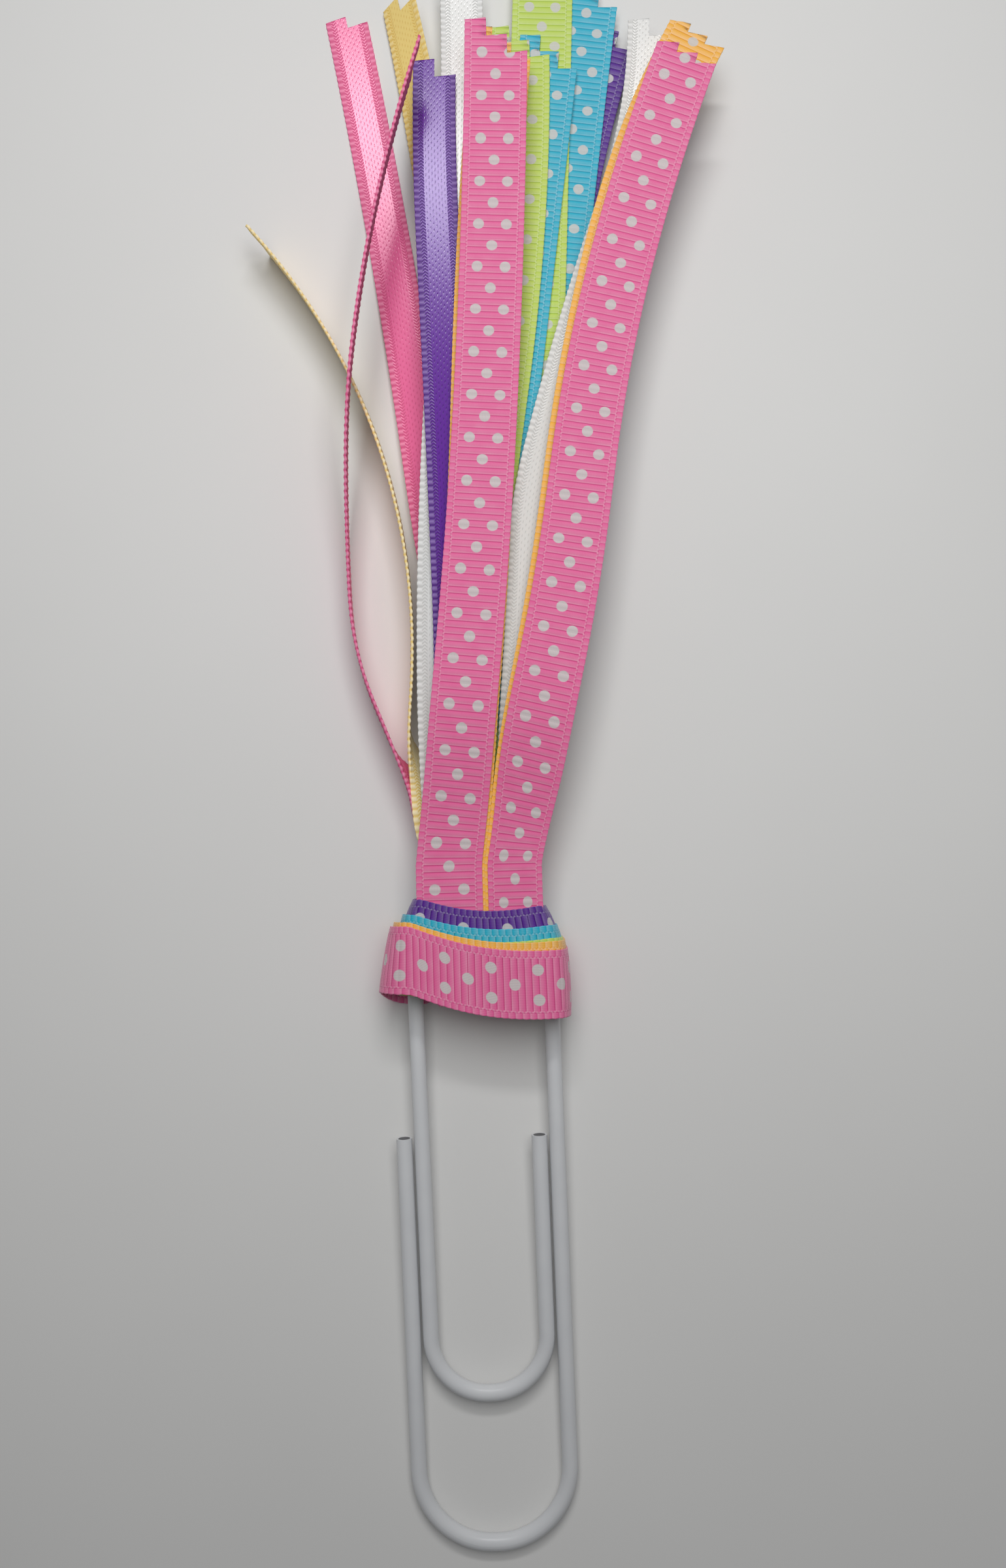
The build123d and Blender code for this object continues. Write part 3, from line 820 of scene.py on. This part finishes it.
def satin_weave():
    """Fine slanting flecks, a plaited chain inside each edge and bars along the edge itself."""
    outputs = ["Fleck", "Chain", "Selvage", "Bar", "Height"]
    tree, sizes, u, v, end = group("satin weave", {"Half width": SATIN_WIDTH / 2}, outputs)
    fleck_columns = calc(tree, "MAXIMUM", wave(tree, u, FLECK_COLUMN_PITCH), 0.0)
    slant = calc(tree, "MULTIPLY_ADD", u, FLECK_SLANT, v)
    slanted = calc(tree, "MAXIMUM", wave(tree, slant, FLECK_PITCH), 0.0)
    edge = calc(tree, "SUBTRACT", sizes["Half width"], calc(tree, "ABSOLUTE", u))
    chained = peak(tree, edge, SATIN_SELVAGE + CHAIN_INSET, CHAIN_REACH)
    chained = bounded(tree, calc(tree, "MULTIPLY", chained, CHAIN_STEEPNESS))
    selvage_start = SATIN_SELVAGE_STEEPNESS * SATIN_SELVAGE + 0.5
    selvage = bounded(tree, calc(tree, "MULTIPLY_ADD", edge, -SATIN_SELVAGE_STEEPNESS, selvage_start))
    plait = calc(tree, "PINGPONG", calc(tree, "SUBTRACT", edge, SATIN_SELVAGE - PLAIT_OVERLAP), PLAIT_WIDTH)
    strand = half_wave(tree, calc(tree, "MULTIPLY_ADD", plait, PLAIT_SLANT, v), BEAD_PITCH / 2)
    chain = calc(tree, "MULTIPLY", chained, strand)
    bar = calc(tree, "MULTIPLY", selvage, half_wave(tree, v, BEAD_PITCH))
    plain = calc(tree, "MAXIMUM", calc(tree, "SUBTRACT", 1.0, calc(tree, "ADD", selvage, chained)), 0.0)
    fleck = calc(tree, "MULTIPLY", calc(tree, "MULTIPLY", fleck_columns, slanted), plain)
    sunk = calc(tree, "MULTIPLY_ADD", fleck, FLECK_BUMP, calc(tree, "MULTIPLY", chain, CHAIN_BUMP))
    height = calc(tree, "SUBTRACT", calc(tree, "MULTIPLY", bar, BAR_BUMP), sunk)
    for label, value in zip(outputs, (fleck, chain, selvage, bar, height)):
        tree.links.new(value, end.inputs[label])
    return tree


SATIN = satin_weave()


def satin_material(name, colour, shade_colour, gloss):
    material, tree, shader = new_material(name)
    weave = use_group(tree, SATIN, weave_map(tree))
    # Painted shade in the flecks, the chain and the gaps between the bars
    cloth = mixed(tree, calc(tree, "MULTIPLY", weave["Fleck"], FLECK_SHADE), colour, shade_colour)
    cloth = mixed(tree, calc(tree, "MULTIPLY", weave["Chain"], CHAIN_SHADE), cloth, shade_colour)
    gaps = calc(tree, "MULTIPLY", calc(tree, "SUBTRACT", weave["Selvage"], weave["Bar"]), GAP_SHADE)
    cloth = mixed(tree, gaps, cloth, shade_colour)
    # Painted highlight on the bars
    cloth = mixed(tree, calc(tree, "MULTIPLY", weave["Bar"], BAR_HIGHLIGHT), cloth, lighter(colour, BAR_HIGHLIGHT_LIGHTER))
    rough = calc(tree, "MAXIMUM", weave["Selvage"], weave["Chain"])
    set_looks(tree, shader, {
        "Base Color": cloth,
        "Roughness": calc(tree, "MULTIPLY_ADD", rough, SELVAGE_ROUGHER, SATIN_ROUGHNESS),
        "Normal": bumped(tree, weave["Height"], *SATIN_BUMP),
        "Specular IOR Level": gloss,
        "Specular Tint": lighter(colour, TINT_LIGHTER),
        **SATIN_LOOKS,
    })
    return material


# Clip and floor. Patches are (scale, detail), a pair of colours goes from dark to pale, and a pair of roughnesses is
# (what the patches add, the least).
VINYL_PATCHES = (220.0, 3.0)
VINYL_COLOURS = ((0.66, 0.67, 0.69), (0.72, 0.73, 0.74))
VINYL_ROUGHNESS = (0.16, 0.26)
VINYL_GRAIN = (2600.0, 2.0)
VINYL_BUMP = (0.12, 0.03)
STEEL_PATCHES = (3000.0, 3.0)
STEEL_COLOURS = ((0.10, 0.10, 0.11), (0.26, 0.26, 0.28))
STEEL_ROUGHNESS = (0.25, 0.35)
FLOOR_PATCHES = (18.0, 4.0)
FLOOR_COLOURS = ((0.74, 0.735, 0.72), (0.78, 0.775, 0.76))
FLOOR_ROUGHNESS = 0.8


def vinyl_material():
    material, tree, shader = new_material("white vinyl")
    where = object_place(tree)
    cloudy = noise(tree, where, *VINYL_PATCHES)
    fine = noise(tree, where, *VINYL_GRAIN)
    set_looks(tree, shader, {
        "Base Color": mixed(tree, cloudy, *VINYL_COLOURS),
        "Roughness": calc(tree, "MULTIPLY_ADD", cloudy, *VINYL_ROUGHNESS),
        "Normal": bumped(tree, fine, *VINYL_BUMP),
    })
    return material


def steel_material():
    material, tree, shader = new_material("cut steel wire")
    grain = noise(tree, object_place(tree), *STEEL_PATCHES)
    set_looks(tree, shader, {
        "Base Color": mixed(tree, grain, *STEEL_COLOURS),
        "Roughness": calc(tree, "MULTIPLY_ADD", grain, *STEEL_ROUGHNESS),
        "Metallic": 1.0,
    })
    return material


def floor_material():
    material, tree, shader = new_material("pale card")
    mottle = noise(tree, object_place(tree), *FLOOR_PATCHES)
    set_looks(tree, shader, {"Base Color": mixed(tree, mottle, *FLOOR_COLOURS), "Roughness": FLOOR_ROUGHNESS})
    return material


# Pieces

def dress(piece, material):
    piece.data.materials.append(material)


def blend_over_hinge(piece):
    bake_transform(piece)


def dotted_ribbon(name):
    """One strip from tip to tip: left tail, hitch and right tail."""
    width, thickness, _, _, colour, shade_colour = RIBBONS[name]
    stations = tail_stations(name, "left")[::-1] + hitch_stations(name) + tail_stations(name, "right")
    tips = (name, "left"), (name, "right")
    piece, _, length = strip(name + "_ribbon", stations, width, thickness, DOTTED_CLOTH, *tips)
    dress(piece, dotted_material(name + " grosgrain", colour, shade_colour))
    blend_over_hinge(piece)
    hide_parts(name + "_hitch", name + "_left_tail", name + "_right_tail")


def satin_ribbon(name):
    """A hitch and two tails that start inside the knot. A tail on edge has no gloss, its colour is lightened as
    painted light, and it is drawn thicker.
    """
    width, thickness, _, _, colour, shade_colour = RIBBONS[name]
    finish = satin_material(name, colour, shade_colour, SATIN_GLOSS)
    knot = hitch_stations(name)
    loop, _, _ = strip(name + "_loop", knot, width, thickness, SATIN_CLOTH)
    dress(loop, finish)
    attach(loop, "clip")
    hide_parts(name + "_hitch")
    knot_ends = {"left": [knot[1], knot[0]], "right": [knot[-2], knot[-1]]}
    for side in SIDES:
        stations = knot_ends[side] + tail_stations(name, side)
        cuts = (None, (name, side))
        if side == "left":
            stations, cuts = stations[::-1], cuts[::-1]
        wall, look = thickness, finish
        if (name, side) in ON_EDGE:
            # Painted light: a tail on edge is drawn lighter, as it gets less light
            painted_light_colour = lighter(colour, ON_EDGE_PAINTED_LIGHT * colour[1])
            wall, look = EDGE_THICKNESS, satin_material(name + " edge", painted_light_colour, shade_colour, DULL_GLOSS)
        tail, middle, length = strip(f"{name}_{side}_strip", stations, width, wall, SATIN_CLOTH, *cuts)
        dress(tail, look)
        blend_over_hinge(tail)
        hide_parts(f"{name}_{side}_tail")


def clip_finish():
    vinyl = vinyl_material()
    steel = steel_material()
    for name in ("outer_loop", "inner_loop"):
        for node_name, finish in ((name + "_coating", vinyl), (name + "_core", steel)):
            for slot in frame["nodes"][node_name].material_slots:
                slot.material = finish


clip_finish()
for ribbon_name in NAMES:
    if ribbon_name.endswith("dotted"):
        dotted_ribbon(ribbon_name)
    else:
        satin_ribbon(ribbon_name)


# Stage and light, in metres from under the top bend. Lamps are (place, aim, size, watts, seen in gloss).
FLOOR_HALF = 0.9
LAMPS = {
    "window": ((0.01, 0.43, 0.42), (0.01, 0.17, 0.0), (0.26, 0.05), 0.75, True),
    "ceiling": ((0.01, 0.105, 0.24), (0.01, 0.104, 0.0), (0.2, 0.2), 0.4, False),
}
ROOM_COLOUR = (0.95, 0.97, 1.0)
ROOM_STRENGTH = 0.12

# Camera fitted to the photograph: focal length and height in its pixels, place in millimetres
FOCAL_PIXELS = 1733
IMAGE_HEIGHT = 2400
SENSOR_HEIGHT = 36.0
NEAR_CLIP = 0.005
CAMERA_PLACE = (3.759, 0.437, 180.31)
CAMERA_FORWARD = (0.00246, 0.0871, -0.9962)
CAMERA_UP = (0.0282, 0.9958, 0.0872)


def make_floor():
    mesh = bpy.data.meshes.new("floor")
    card = bmesh.new()
    bmesh.ops.create_grid(card, x_segments=1, y_segments=1, size=FLOOR_HALF)
    card.to_mesh(mesh)
    card.free()
    floor = add("floor", mesh)
    dress(floor, floor_material())


def from_apex(x, y, z):
    return Vector((apex.x + x, apex.y + y, z))


def make_light(name, place, aim, size, watts, in_gloss):
    lamp = bpy.data.lights.new(name, "AREA")
    lamp.shape = "RECTANGLE"
    lamp.size, lamp.size_y = size
    lamp.energy = watts
    holder = add(name, lamp)
    holder.location = from_apex(*place)
    holder.visible_glossy = in_gloss
    holder.rotation_euler = (from_apex(*aim) - from_apex(*place)).to_track_quat("-Z", "Y").to_euler()


def make_world():
    world = bpy.data.worlds.new("soft room")
    bpy.context.scene.world = world
    world.use_nodes = True
    background = world.node_tree.nodes["Background"]
    background.inputs["Color"].default_value = (*ROOM_COLOUR, 1)
    background.inputs["Strength"].default_value = ROOM_STRENGTH


def make_camera():
    camera = bpy.data.cameras.new("photo view")
    camera.sensor_fit = "VERTICAL"
    camera.sensor_height = SENSOR_HEIGHT
    camera.lens = SENSOR_HEIGHT * FOCAL_PIXELS / IMAGE_HEIGHT
    camera.clip_start = NEAR_CLIP
    forward = Vector(CAMERA_FORWARD).normalized()
    right = forward.cross(Vector(CAMERA_UP)).normalized()
    upward = right.cross(forward)
    turned = Matrix((right, upward, -forward)).transposed().to_4x4()
    holder = add("photo view", camera)
    holder.matrix_world = Matrix.Translation(Vector(ORIGIN) + Vector(CAMERA_PLACE) * MM) @ turned
    bpy.context.scene.camera = holder


make_floor()
for lamp_name, lamp_values in LAMPS.items():
    make_light(lamp_name, *lamp_values)
make_world()
make_camera()
bpy.context.scene.view_settings.view_transform = "Standard"
bpy.context.scene.cycles.caustics_reflective = False
